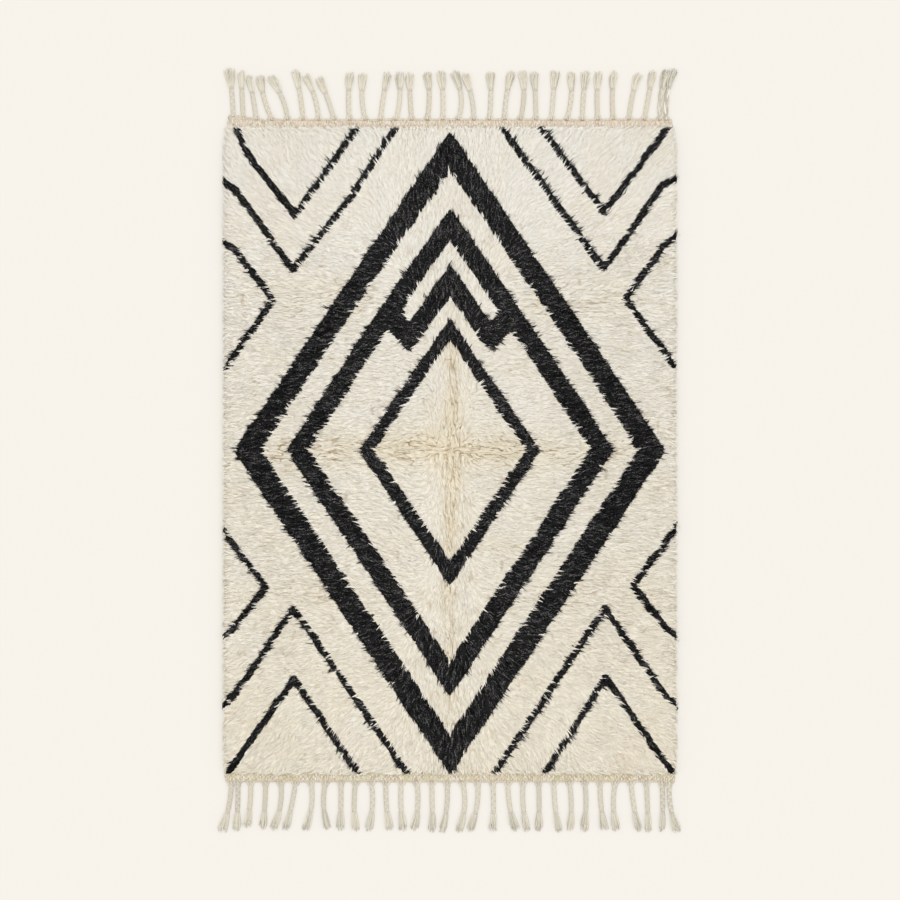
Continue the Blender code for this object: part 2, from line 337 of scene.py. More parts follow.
weave_material, tree, shader = new_material("knotted_back_wool")
where = object_place(tree)
rows = waves(tree, where, 42, 1.5, "Y")
cream_back = blend(tree, noise(tree, where, 260, 3), (0.50, 0.44, 0.34, 1), (0.72, 0.67, 0.56, 1))
back_colour = blend(tree, read_number(tree, "charcoal"), cream_back, (0.035, 0.033, 0.031, 1))
show(tree, shader, back_colour, rows, 0.0012, 0.8)
shader.inputs["Roughness"].default_value = 0.92

knots_across = np.arange(-KNOTS_TO_SIDE, KNOTS_TO_SIDE + 1) * KNOT
knots_along = np.arange(-KNOTS_TO_END, KNOTS_TO_END + 1) * KNOT
hidden_side = np.linspace(knots_across[0], knots_across[-1], HIDDEN_COLUMNS)
points, rings, around = slab_points(knots_across, hidden_side, knots_along, weave_top, back_height,
                                    SELVEDGE_RADIUS, SELVEDGE_STEPS)
quads, caps = tube_faces(rings, around)
ground_weave = wool_piece("ground_weave", points, [quads, caps], weave_material)
middle = points[quads].mean(1)
give(ground_weave, "charcoal", np.concatenate([is_charcoal(middle[:, 0], middle[:, 1]), [0, 0]]), "FACE")
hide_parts("pile_field")


# ---------------------------------------------------------------------------------------------------------
# Pile undercoat. The short, dense lower half of the pile, where the knots' wool stands packed together
# before it leans over. Its top is lumpy, and it dips where the rug was folded, once lengthwise and in
# three lines across.

UNDERCOAT_HALF = (0.788, 1.1265)
UNDERCOAT_CELL = 0.012
UNDERCOAT_FINE_CELL = 0.003
UNDERCOAT_HEIGHT = 0.0165
UNDERCOAT_EDGE = 0.0080
UNDERCOAT_SHOULDER = (0.032, 0.055)
UNDERCOAT_BULGE = 0.003
UNDERCOAT_BULGE_STEPS = 3
CROSS_FOLDS = [(0.0, 1.0, 0.0), (0.535, 0.50, 0.28), (-0.487, 0.45, 0.34)]
LENGTHWISE_FOLD_HALF = 0.038
CROSSWISE_FOLD_HALF = 0.052
FOLD_DEPTH = 0.0020
FINE_REACH = 0.060
PARTING_OPENS = 0.0065
PARTING_HALF = 0.0017


def lengthwise_fold(x, y, half=LENGTHWISE_FOLD_HALF, power=4):
    """Strength of the lengthwise fold: a bell over the distance to the wavering middle line, the flatter at
    its top the higher the power. It narrows away from the rug's middle, and hardly shows near the head."""
    away = x - 0.004 - 0.008 * np.sin(4.1 * y + 0.6)
    narrowed = half * (0.60 + 0.40 * np.exp(-(y / 0.15) ** 2))
    return np.clip((0.50 - y) / 0.12, 0.25, 1) * np.exp(-np.abs(away / narrowed) ** power)


def crosswise_fold(x, y, half=CROSSWISE_FOLD_HALF, power=4):
    """Strength of the folds across, the strongest at a place: a bell over the distance to a fold's wavering
    line, times its share. Each shows from its own distance off the middle, and ends near the side."""
    strength = np.zeros(np.broadcast(x, y).shape)
    for place_y, share, shows_from in CROSS_FOLDS:
        away = y - place_y - 0.008 * np.sin(6.3 * x + 1.9)
        begun = np.clip((np.abs(x) - shows_from) / 0.05 + 1, 0, 1)
        shown = share * begun * np.clip((0.72 - np.abs(x)) / 0.08, 0, 1)
        strength = np.maximum(strength, shown * np.exp(-np.abs(away / half) ** power))
    return strength


def fold_strength(x, y):
    """The stronger of the folds at a place. The lengthwise one fades with the distance to the middle."""
    fades = 0.30 + 0.70 * np.exp(-(y / 0.20) ** 2)
    return np.maximum(lengthwise_fold(x, y) * fades, crosswise_fold(x, y))


def shoulder(x, y):
    """From 0 at the field's edge to 1 well inside it, on a quarter circle."""
    from_side = (UNDERCOAT_HALF[0] - draw_in(y) - np.abs(x)) / UNDERCOAT_SHOULDER[0]
    from_end = (UNDERCOAT_HALF[1] - np.abs(y)) / UNDERCOAT_SHOULDER[1]
    share = np.clip(np.minimum(from_side, from_end), 0, 1)
    return np.sqrt(1 - (1 - share) ** 2)


def pile_base(x, y):
    """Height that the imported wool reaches: lumps of two sizes, less a dip on the folds, and rounded down at
    the edge."""
    lumps = 0.0009 * drift(x, y, 0.030, 0.030, 21) + 0.0010 * drift(x, y, 0.090, 0.090, 22)
    full = UNDERCOAT_HEIGHT + lumps - FOLD_DEPTH * fold_strength(x, y)
    return UNDERCOAT_EDGE + (full - UNDERCOAT_EDGE) * shoulder(x, y)


def creasing(x, y):
    """How much the lengthwise fold's long creases show at a place: as the fold does, but for a bell curve
    over the distance to the rug's middle, where the two folds cross."""
    return lengthwise_fold(x, y) * (0.85 - 0.55 * np.exp(-(y / 0.13) ** 2))


def yellowing(x, y):
    """How yellowed the wool is, from 0 to 1: more towards the foot and the sides, and most on the folds near
    the rug's middle, over wide bells, with a slow drift."""
    folds = np.maximum(lengthwise_fold(x, y, 0.048, 2), crosswise_fold(x, y, 0.062, 2))
    at_side = np.clip((np.abs(x) - 0.33) / 0.25, 0, 1)
    return np.clip(0.06 + 0.36 * np.clip((1.0 - y) / 2.1, 0, 1) ** 1.3 + 0.06 * at_side
                   + 0.58 * folds * np.exp(-(np.hypot(x, 0.75 * y) / 0.48) ** 2)
                   + 0.10 * drift(x, y, 0.09, 0.09, 51), 0, 1)


def combed(x, y):
    """Direction that the pile lies in: outward across the rug, tilted to its ends near them, the more at the
    head, and straight to the ends along the middle, but for the fold across the middle. The tilt rises with
    the distance along the rug, and the middle's share falls by a bell curve over the distance to the side."""
    tilt = np.radians(np.where(y > 0, 50, 35)) * np.clip((np.abs(y) - 0.45) / 0.60, 0, 1) ** 1.3
    half = 0.072 + np.where(y > 0, 0.17, 0.10) * np.clip((np.abs(y) - 0.42) / 0.35, 0, 1)
    middle = np.exp(-np.abs(x / half) ** 5) * (1 - np.exp(-(y / 0.014) ** 2))
    rise = tilt + (np.pi / 2 - tilt) * middle
    return np.arctan2(np.where(y < 0, -1, 1) * np.sin(rise), np.where(x < 0, -1, 1) * np.cos(rise))


def comb_shares(x, y):
    """How much of the pile at a place lies crosswise, and how much diagonally: hat functions of the angle
    that it is combed at. The rest lies lengthwise."""
    turn = np.arctan(np.abs(np.tan(combed(x, y)))) / (np.pi / 4)
    return np.clip(1 - turn, 0, 1), np.clip(1 - np.abs(turn - 1), 0, 1)


def parting_shade_strength(x, y):
    """How dark the painted shade on the small partings is at a place: little at the head end, more at the
    foot end, most between the two and on the folds."""
    ends = np.where(y > 0, 0.12, 0.26)
    between = np.clip((0.92 - np.abs(y)) / 0.30, 0, 1)
    folds = np.maximum(0.45 * lengthwise_fold(x, y), 0.55 * crosswise_fold(x, y))
    return ends + (0.46 - ends) * between + folds


def charcoal_share(x, y):
    """Share of a place's surroundings, 7 mm to each side, that is knotted in charcoal."""
    steps = np.linspace(-0.007, 0.007, 4)
    near = [is_charcoal(x + along_x, y + along_y) for along_x in steps for along_y in steps]
    return sum(near) / len(near)


def wrinkles(x, y):
    """The field whose zero lines the pile parts along: drift that is drawn out the way the pile is combed,
    crosswise or lengthwise."""
    share = np.cos(combed(x, y)) ** 2
    wavy_x = x + 0.0036 * drift(x, y, 0.015, 0.015, 33)
    wavy_y = y + 0.0036 * drift(x, y, 0.015, 0.015, 34)
    across = drift(wavy_x, wavy_y, 0.050, 0.0085, 31)
    along = drift(wavy_x, wavy_y, 0.0085, 0.050, 32)
    return share * across + (1 - share) * along


def from_parting(x, y):
    """How far a place is from the nearest zero line of the wrinkles, signed, as their value over their
    slope, and the direction of that slope."""
    step = 0.0015
    slope_x = (wrinkles(x + step, y) - wrinkles(x - step, y)) / (2 * step)
    slope_y = (wrinkles(x, y + step) - wrinkles(x, y - step)) / (2 * step)
    slope = np.hypot(slope_x, slope_y) + 15
    return wrinkles(x, y) / slope, slope_x / slope, slope_y / slope


def opening(x, y):
    """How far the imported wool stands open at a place: a bell curve over the distance to the parting, with
    the fold's strength."""
    away, _, _ = from_parting(x, y)
    return fold_strength(x, y) * np.exp(-(away / PARTING_HALF) ** 2)


def undercoat_top(x, y):
    """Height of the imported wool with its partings."""
    return pile_base(x, y) - PARTING_OPENS * opening(x, y)


def spaced(half, folds):
    """Positions from -half to half, a cell apart, and by the fine cell near each fold."""
    coarse = np.linspace(-half, half, int(round(2 * half / UNDERCOAT_CELL)) + 1)
    coarse = coarse[np.min(np.abs(coarse[:, None] - folds), 1) > FINE_REACH]
    fine = [np.arange(fold - FINE_REACH, fold + FINE_REACH, UNDERCOAT_FINE_CELL) for fold in folds]
    return np.sort(np.concatenate([coarse, *fine]))


def undercoat_bottom(x, y):
    """Level on the weave."""
    return np.full(np.broadcast(x, y).shape, WEAVE_TOP + 0.0001)


def calculate(tree, operation, *values):
    """One step of arithmetic on these values, each a number or another node's."""
    return place(tree, "ShaderNodeMath", dict(enumerate(values)), operation=operation).outputs[0]


def rescale(tree, value, low, high, to_low=0, to_high=1, **settings):
    """The value's share of the way from low to high, as a number from to_low to to_high."""
    return place(tree, "ShaderNodeMapRange", {"Value": value, "From Min": low, "From Max": high,
                                              "To Min": to_low, "To Max": to_high}, **settings).outputs[0]


def drawn_out(tree, vector, size):
    """The vector with each of its directions multiplied by its size."""
    return place(tree, "ShaderNodeMapping", {"Vector": vector, "Scale": size}).outputs[0]


def calculate_vector(tree, operation, *values, **inputs):
    """One step of arithmetic on these vectors."""
    return place(tree, "ShaderNodeVectorMath", {**dict(enumerate(values)), **inputs},
                 operation=operation).outputs[0]


def new_group(name, inputs, outputs, colours=()):
    """A shader group, what it is given and what it gives back. These are numbers, but for the colours."""
    group = bpy.data.node_groups.new(name, "ShaderNodeTree")
    for sockets, direction in ((inputs, "INPUT"), (outputs, "OUTPUT")):
        for socket in sockets:
            kind = "NodeSocketColor" if socket in colours else "NodeSocketFloat"
            group.interface.new_socket(socket, in_out=direction, socket_type=kind)
    return group, place(group, "NodeGroupInput").outputs, place(group, "NodeGroupOutput").inputs


def combed_noise():
    """A shader group for combed wool. Its value is noise that is drawn out the way the pile lies: a mix of
    three, drawn out lengthwise, crosswise and diagonally outward. Its parting is the mask of a painted shade:
    1 on the thin, wavy lines where that value is a half, but for the places where the locks lie closed. On
    the lengthwise fold it also runs along the lines where a noise that is drawn out far lengthwise is a half."""
    numbers = ("Crosswise", "Diagonal", "Folded", "Scale", "Detail", "Wave")
    group, given, made = new_group("combed_noise", numbers, ("Value", "Parting"))
    where = object_place(group)
    bend = place(group, "ShaderNodeTexNoise", {"Vector": where, "Scale": 42, "Detail": 1}).outputs["Color"]
    centred = calculate_vector(group, "SUBTRACT", bend, (0.5, 0.5, 0.5))
    swayed = calculate_vector(group, "SCALE", centred, Scale=given["Wave"])
    wavy = calculate_vector(group, "ADD", where, swayed)
    outward = calculate_vector(group, "ABSOLUTE", wavy)
    turned = place(group, "ShaderNodeMapping", {"Vector": outward, "Rotation": (0, 0, -np.pi / 4)}).outputs[0]
    drawn = []
    for vector, size in ((wavy, (62, 11, 0)), (wavy, (11, 62, 0)), (turned, (11, 62, 0))):
        drawn.append(noise(group, drawn_out(group, vector, size), given["Scale"], given["Detail"]))
    value = drawn[0]
    for other, share in ((drawn[1], "Crosswise"), (drawn[2], "Diagonal")):
        step = calculate(group, "SUBTRACT", other, drawn[0])
        value = calculate(group, "MULTIPLY_ADD", step, given[share], value)
    crease = noise(group, drawn_out(group, wavy, (64, 3.5, 0)), given["Scale"], 0)
    lines = []
    for field, reach in ((value, 0.042), (crease, 0.034)):
        away = calculate(group, "ABSOLUTE", calculate(group, "ADD", field, -0.5))
        lines.append(rescale(group, away, 0, reach, 1, 0, interpolation_type="SMOOTHSTEP"))
    shown = rescale(group, noise(group, where, 16, 1), 0.38, 0.60)
    parted = calculate(group, "MULTIPLY", lines[0], shown)
    creased = calculate(group, "MULTIPLY", lines[1], given["Folded"])
    group.links.new(value, made["Value"])
    group.links.new(calculate(group, "MAXIMUM", parted, creased), made["Parting"])
    return group


combed_wool = combed_noise()
COMBED_WAVE = 0.012
# Painted shade: the colour that the partings' lines are multiplied by.
PARTING_SHADE_TINT = (0.54, 0.43, 0.28, 1)


def place_combed(tree, scale, detail):
    """The combed noise in a material, led by the piece's own numbers."""
    inputs = {"Scale": scale, "Detail": detail, "Wave": COMBED_WAVE}
    for socket in ("Crosswise", "Diagonal", "Folded"):
        inputs[socket] = read_number(tree, socket.lower())
    return place(tree, "ShaderNodeGroup", inputs, node_tree=combed_wool)


def parting_shade_here(tree):
    """How strong the painted shade on a parting's line is: the combed noise's parting times the piece's own
    parting number.
    """
    lines = place_combed(tree, 1, 0).outputs["Parting"]
    return calculate(tree, "MULTIPLY", lines, read_number(tree, "parting"))


undercoat_material, tree, shader = new_material("packed_wool")
fibres = place_combed(tree, 6, 2).outputs["Value"]
strand = rescale(tree, fibres, 0.34, 0.66)
cream_pack = blend(tree, strand, (0.70, 0.65, 0.55, 1), (0.90, 0.87, 0.80, 1))
warm_pack = blend(tree, read_number(tree, "warmth"), cream_pack, (0.97, 0.90, 0.75, 1), "MULTIPLY")
# Painted shade: the packed wool's colour is darkened on the partings' thin lines, and more where the wool
# stands open.
parting_shaded = blend(tree, parting_shade_here(tree), warm_pack, PARTING_SHADE_TINT, "MULTIPLY")
shaded = blend(tree, read_number(tree, "opening"), parting_shaded, (0.58, 0.45, 0.27, 1))
ragged = calculate(tree, "MULTIPLY_ADD", fibres, 0.9, read_number(tree, "charcoal"))
charcoal_pack = blend(tree, strand, (0.004, 0.004, 0.004, 1), (0.024, 0.023, 0.023, 1))
pack_colour = blend(tree, rescale(tree, ragged, 0.86, 1.00), shaded, charcoal_pack)
show(tree, shader, pack_colour, fibres, 0.006, 0.8)
shader.inputs["Roughness"].default_value = 0.95
shader.inputs["Specular IOR Level"].default_value = 0.1


def give_combing(piece, x, y):
    """The numbers that the combed noise and the painted shade on its partings read, at each point's place."""
    give(piece, "parting", parting_shade_strength(x, y))
    give(piece, "folded", creasing(x, y))
    for number, values in zip(("crosswise", "diagonal"), comb_shares(x, y)):
        give(piece, number, values)


across = spaced(UNDERCOAT_HALF[0], np.array([0.004]))
along = spaced(UNDERCOAT_HALF[1], np.array([fold[0] for fold in CROSS_FOLDS]))
hidden_side = np.linspace(across[0], across[-1], HIDDEN_COLUMNS)
points, rings, around = slab_points(hidden_side, across, along, undercoat_top, undercoat_bottom,
                                    UNDERCOAT_BULGE, UNDERCOAT_BULGE_STEPS)
quads, caps = tube_faces(rings, around)
undercoat = wool_piece("pile_undercoat", points, [quads, caps], undercoat_material)
x, y = points[:, 0], points[:, 1]
give(undercoat, "charcoal", charcoal_share(x, y))
give(undercoat, "opening", opening(x, y))
give(undercoat, "warmth", yellowing(x, y))
give_combing(undercoat, x, y)
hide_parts("pile_field")


# ---------------------------------------------------------------------------------------------------------
# Pile locks. Each knot's long wool ends hang together as a pointed lock, combed outward from the rug's
# middle, so that each lies over the next one's root. Cream wool, and charcoal where the drawing is.

LOCK_SPACING = 0.0140
LOCK_LENGTH = (0.027, 0.043)
LOCK_ROOT_SPREAD = 0.0058
LOCK_TIP_SPREAD = 0.0010
POINT_SPREAD = 0.0032
SEEN_SHARE = 0.56
TRIM_SPARE = (0.35, 1.60)
KNOTTED_OFF = 0.0055
BENT_STRANDS = 2
STRAIGHT_STRANDS = 4
STRAND_WIDTH = 0.0048
CHARCOAL_WIDTH = 0.0042
CREAM_FLATNESS = 0.17
CHARCOAL_FLATNESS = 0.32
PARTING_CLEARANCE = 0.0020
PARTING_ELSEWHERE = 0.40
PARTING_DEPTH = 0.0035
PARTING_SHADE = 2.6
PARTING_SHADE_HALF = 0.0014
PILE_EDGE = np.array([0.7980, 1.1345])
RIM_EASE = 0.010
BEND_INSIDE = 0.006
LOWEST_STRAND = 0.0055

random = np.random.default_rng(7)


def parted(points):
    """Parts the strands, given as (strands, 3 points, 3). A point nearer to a zero line than the clearance,
    or just past it, is moved along the field's slope until it lies at the clearance, on the side that the
    strand's middle is on. Points near a line also sink, over a bell curve."""
    x, y = points[..., 0], points[..., 1]
    away, slope_x, slope_y = from_parting(x, y)
    hand = np.where(away[:, 1:2] < 0, -1, 1)
    strength = PARTING_ELSEWHERE + (1 - PARTING_ELSEWHERE) * fold_strength(x, y)
    clearance = PARTING_CLEARANCE * strength
    lacking = np.clip(clearance - hand * away, 0, 2.2 * clearance)
    lacking = np.where(hand * away < -2.0 * clearance, 0, lacking)
    moved = points.copy()
    moved[..., 0] += hand * lacking * slope_x
    moved[..., 1] += hand * lacking * slope_y
    moved[..., 2] -= PARTING_DEPTH * strength * np.exp(-(away / 0.0040) ** 2)
    return moved


# A lock for each knot on a jittered grid, with its lie: away from the middle, swirled and a little untidy.
columns = int(2 * PILE_EDGE[0] / LOCK_SPACING)
rows = int(2 * PILE_EDGE[1] / LOCK_SPACING)
grid_x, grid_y = np.meshgrid(np.arange(columns), np.arange(rows))
root = np.stack([(grid_x.ravel() + 0.5) / columns * 2 - 1, (grid_y.ravel() + 0.5) / rows * 2 - 1], 1)
root = root * (PILE_EDGE - 0.008) + random.uniform(-0.42, 0.42, root.shape) * LOCK_SPACING
knot_x, knot_y = root[:, 0], root[:, 1]
swirl = 0.38 * drift(knot_x, knot_y, 0.110, 0.110, 41) + 0.42 * drift(knot_x, knot_y, 0.030, 0.030, 42)
calm = np.clip((np.abs(knot_x) - 0.15) / 0.25, 0, 1) * np.clip((0.85 - np.abs(knot_y)) / 0.25, 0, 1)
at_head = np.clip((knot_y - 0.60) / 0.25, 0, 1)
swirl *= 1.15 - 0.60 * np.maximum(calm, at_head)
middle_untidiness = np.exp(-(np.hypot(knot_x, knot_y) / 0.07) ** 2)
lie = combed(knot_x, knot_y) + swirl + random.normal(0, 0.16, len(root))
lie += middle_untidiness * random.normal(0, 0.5, len(root))
length = random.uniform(*LOCK_LENGTH, len(root))
at_side = np.clip((np.abs(knot_x) - 0.33) / 0.25, 0, 1)
side_waves = at_side * drift(knot_x, knot_y, 0.050, 0.0095, 35)
at_rim = np.clip((np.abs(knot_x) - 0.755) / 0.030, 0, 1)
# A lock's tone: a random spread, narrower at the head; painted light and shade of the waves at the sides;
# darker towards the sides; and a painted shade at the rim, where the pile rounds down.
lock_tone_and_shading = (0.5 + random.normal(0, 0.14, len(root)) * (1 - 0.45 * at_head) + 0.45 * side_waves
             - 0.20 * at_side - 1.25 * at_rim)


def own_colour_reach(start, end):
    """Share of the way from one point to another, in sixths, over which the drawing keeps its colour."""
    own = is_charcoal(start[..., 0], start[..., 1])
    kept = np.ones(own.shape, bool)
    share = np.zeros(own.shape)
    for step in range(1, 7):
        at = start + (end - start) * step / 6
        kept &= is_charcoal(at[..., 0], at[..., 1]) == own
        share += kept / 6
    return share[..., None]


# Each lock ends in two points. A point has the colour that the drawing has at its visible part, give or
# take a few millimetres along its lie. It is trimmed where it would reach far into the other colour, and its
# root is set back to its own side.
ahead = np.stack([np.cos(lie), np.sin(lie)], 1)[:, None]
aside = np.stack([-np.sin(lie), np.cos(lie)], 1)[:, None]
trimming = np.random.default_rng(9)
two_points = (len(root), 2, 1)
point = (root[:, None] + ahead * (length[:, None, None] + trimming.normal(0, 0.0035, two_points))
         + aside * np.array([-1, 1])[:, None] * POINT_SPREAD)
visible = root[:, None] + SEEN_SHARE * (point - root[:, None])
uneven = ahead * trimming.normal(0, KNOTTED_OFF, two_points)
knotted = visible + uneven
spare = trimming.uniform(*TRIM_SPARE, two_points)
kept = np.minimum(1, own_colour_reach(knotted, point + uneven) + spare)
set_back = np.minimum(1, own_colour_reach(knotted, root[:, None] + uneven) + 0.15)

# Its strands, which belong to the two points in turn: roots spread over the knot's place, tips drawn
# together.
strands = BENT_STRANDS + STRAIGHT_STRANDS
of_point = np.arange(strands) % 2
shape = (len(root), strands, 1)
foot = (root[:, None] + aside * random.uniform(-1, 1, shape) * LOCK_ROOT_SPREAD
        + ahead * random.uniform(-1, 1, shape) * LOCK_ROOT_SPREAD)
tip = (point[:, of_point] + ahead * random.normal(0, 0.0018, shape)
       + aside * random.normal(0, 1, shape) * LOCK_TIP_SPREAD)
tip = visible[:, of_point] + (tip - visible[:, of_point]) * kept[:, of_point]
foot = visible[:, of_point] + (foot - visible[:, of_point]) * set_back[:, of_point]
dark = is_charcoal(knotted[..., 0], knotted[..., 1])[:, of_point]
bend = 0.5 * (foot + tip) + aside * random.normal(0, 0.0022, shape)
ragged = np.random.default_rng(8).uniform(-0.006, 0.005, tip.shape[:2])
edge = PILE_EDGE + np.stack([-draw_in(tip[..., 1]), ragged], 2)
over_edge = np.maximum(np.abs(tip) - (edge - RIM_EASE), 0)
eased = edge - RIM_EASE + RIM_EASE * (1 - np.exp(-over_edge / RIM_EASE))
tip = np.sign(tip) * np.minimum(np.abs(tip), eased)
hang = np.clip(over_edge / 0.014, 0, 1) @ np.array([1.0, 0.75])[:, None]
bend_edge = np.abs(bend) > edge - BEND_INSIDE
bend = np.where(bend_edge, np.sign(bend) * (edge - BEND_INSIDE), bend)

ground = (pile_base(knot_x, knot_y) + 0.0012 * side_waves)[:, None, None]
inner = shoulder(knot_x, knot_y)[:, None, None]
foot_z = ground - 0.0020 + random.uniform(-0.0006, 0.0004, shape)
bend_z = ground + 0.0014 + 0.0014 * inner + random.uniform(-0.0010, 0.0012, shape)
tip_z = (ground + 0.0020 + 0.0042 * inner - 0.009 * hang
         + random.uniform(-0.0016, 0.0022, shape) * (1 - 0.50 * at_head)[:, None, None])
line = np.stack([np.concatenate([foot, foot_z], 2), np.concatenate([bend, bend_z], 2),
                 np.concatenate([tip, tip_z], 2)], 2)
# Painted shade: strands whose bend lies near a parting's line are darkened through their tone, less on the
# folds.
fold_here = fold_strength(bend[..., 0], bend[..., 1])
closeness = np.exp(-(from_parting(bend[..., 0], bend[..., 1])[0] / PARTING_SHADE_HALF) ** 2)
drawn = np.maximum(0.30 + 0.45 * np.clip(-knot_y / 0.5, 0, 1), calm)[:, None]
shaded_by_parting = PARTING_SHADE * drawn * (1 - 0.8 * fold_here) * closeness
line = parted(line.reshape(-1, 3, 3)).reshape(line.shape)
line[..., 2] = np.maximum(line[..., 2], LOWEST_STRAND)


def strand_points(line, width, flatness, bent):
    """Points of pointed, three-sided strands along lines of root, bend and tip. A bent strand has a ring
    at its root and one at its bend, and a straight one only the first. Then each has its tip."""
    rings = []
    for place_on, share in ((0, 1.0), (1, 0.86))[:2 if bent else 1]:
        run = line[:, min(place_on + 1, 2)] - line[:, max(place_on - 1, 0)]
        flat = np.hypot(run[:, 0], run[:, 1])[:, None] + 1e-9
        side = np.concatenate([-run[:, 1:2] / flat, run[:, 0:1] / flat, 0 * flat], 1)
        up = np.cross(run / np.linalg.norm(run, axis=1)[:, None], side)
        for angle in (np.pi / 2, 7 * np.pi / 6, 11 * np.pi / 6):
            spoke = np.cos(angle) * side + flatness * np.sin(angle) * up
            rings.append(line[:, place_on] + spoke * (width * share / 2)[:, None])
    return np.stack(rings + [line[:, 2]], 1)


def strand_faces(count, bent, first):
    """Corner numbers of these strands: triangles for the tip and root, quads between two rings."""
    size = 7 if bent else 4
    start = first + np.arange(count)[:, None, None] * size
    tip_ring = 3 if bent else 0
    tips = np.array([(tip_ring + a, tip_ring + (a + 1) % 3, size - 1) for a in range(3)])
    tris = np.concatenate([tips, [(2, 1, 0)]])
    quads = np.array([(a, (a + 1) % 3, 3 + (a + 1) % 3, 3 + a) for a in range(3)])
    return (start + tris).reshape(-1, 3), (start + quads).reshape(-1, 4) if bent else None


def lock_piece(name, chosen, material, strand_width, flatness, lock_share, strand_spread):
    """The chosen strands as one piece, with each one's tone, which is a share of its lock's own and a spread
    of its own less a painted shade near the partings, its warmth, and how far along a strand each point is."""
    widths = strand_width * random.uniform(0.8, 1.2, chosen.shape)
    own = random.normal(0, strand_spread, chosen.shape) - lock_share * shaded_by_parting
    tone = np.clip(0.5 + lock_share * (lock_tone_and_shading[:, None] - 0.5) + own, -5.0, 1.5)
    parts, tri_list, quad_list, tones, warm, along, turn = [], [], [], [], [], [], []
    first = 0
    for bent in (True, False):
        picked = np.zeros(chosen.shape, bool)
        picked[:, slice(0, BENT_STRANDS) if bent else slice(BENT_STRANDS, strands)] = True
        picked &= chosen
        made = strand_points(line[picked], widths[picked], flatness, bent)
        tris, quads = strand_faces(len(made), bent, first)
        tri_list.append(tris)
        if bent:
            quad_list.append(quads)
        size = made.shape[1]
        tones.append(np.repeat(tone[picked], size))
        warm.append(np.repeat((warmth[:, None] + 0 * tone)[picked], size))
        along.append(np.tile([0, 0, 0, 0.5, 0.5, 0.5, 1] if bent else [0, 0, 0, 1], len(made)))
        turn.append(np.tile([0, 1, 2, 0, 1, 2, 0] if bent else [0, 1, 2, 0], len(made)))
        parts.append(made.reshape(-1, 3))
        first += made.shape[0] * size
    places = np.concatenate(parts)
    piece = wool_piece(name, places, [np.concatenate(tri_list), np.concatenate(quad_list)], material,
                       smooth=False)
    tones, warm, along, turn = (np.concatenate(v) for v in (tones, warm, along, turn))
    give(piece, "lock_tone_and_shading", tones)
    give(piece, "warmth", warm)
    give(piece, "tipward", along)
    give_combing(piece, places[:, 0], places[:, 1])
    give_map(piece, 0.03 + 0.94 * (0.046 * (tones + 5.0) + 0.7 * warm) + np.array([-0.008, 0.008, 0])[turn],
             0.04 + 0.92 * along + np.array([0, 0, -0.02])[turn])
    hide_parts("pile_field")
    return piece


def wool_look():
    """A shader group for hanging wool: the colour runs from the shaded root to the lit tip, is tinted by the
    warmth of its place, gets lighter and darker with the lock's tone, which also carries painted light and
    shade, the fibres and their curl, and takes a painted shade on the partings."""
    colours = ("Root", "Tip", "Warm tint")
    numbers = ("Tone", "Tone reach", "Curl", "Warmth", "Tipward", "Parting")
    group, given, made = new_group("hanging_wool", colours + numbers, ("Colour", "Roughness", "Height"),
                                   colours + ("Colour",))
    where = object_place(group)
    fibre = noise(group, where, 520, 3, 0.7)
    curl = noise(group, where, 210, 2)
    lit = rescale(group, given["Tipward"], 0, 0.55)
    rooted = blend(group, lit, given["Root"], given["Tip"])
    warm = blend(group, given["Warmth"], rooted, given["Warm tint"], "MULTIPLY")
    tone = calculate(group, "ADD", given["Tone"], fibre)
    curled = calculate(group, "MULTIPLY_ADD", calculate(group, "ADD", curl, -0.5), given["Curl"], tone)
    lift = calculate(group, "ADD", curled, -1)
    gain = calculate(group, "MULTIPLY_ADD", lift, given["Tone reach"], 1)
    colour = calculate_vector(group, "SCALE", warm, Scale=calculate(group, "MAXIMUM", gain, 0.10))
    group.links.new(blend(group, given["Parting"], colour, PARTING_SHADE_TINT, "MULTIPLY"), made["Colour"])
    group.links.new(rescale(group, fibre, 0, 1, 0.78, 0.98), made["Roughness"])
    group.links.new(fibre, made["Height"])
    return group


hanging_wool = wool_look()


def wool_material(name, root_colour, tip_colour, warm_tint, tone_reach, curl, sheen, gloss):
    """Wool of one dye in the shared hanging wool look, read from the strands' own numbers."""
    material, tree, shader = new_material(name)
    inputs = {"Root": (*root_colour, 1), "Tip": (*tip_colour, 1), "Warm tint": (*warm_tint, 1),
              "Tone reach": tone_reach, "Curl": curl}
    for socket, number in (("Tone", "lock_tone_and_shading"), ("Warmth", "warmth"), ("Tipward", "tipward")):
        inputs[socket] = read_number(tree, number)
    look = place(tree, "ShaderNodeGroup", inputs, node_tree=hanging_wool)
    show(tree, shader, look.outputs["Colour"], look.outputs["Height"], 0.0008, 0.6)
    tree.links.new(look.outputs["Roughness"], shader.inputs["Roughness"])
    shader.inputs["Specular IOR Level"].default_value = gloss
    shader.inputs["Sheen Weight"].default_value = sheen
    shader.inputs["Sheen Roughness"].default_value = 0.5
    return material, tree, look


cream_wool, tree, look = wool_material("cream_wool", (0.835, 0.802, 0.728), (0.890, 0.864, 0.802),
                                       (0.965, 0.900, 0.750), 0.08, 2.2, 0.05, 0.25)
# Painted shade on the cream wool's parting lines.
tree.links.new(parting_shade_here(tree), look.inputs["Parting"])
# Painted highlights: the charcoal's wide tone reach and curl, with the wide spread of its strands' tones
# given below, light single fibres grey over the deep black.
charcoal_wool, _, _ = wool_material("charcoal_wool", (0.004, 0.004, 0.004), (0.027, 0.026, 0.026),
                                    (1, 1, 1), 7.0, 3.0, 0.01, 0.10)

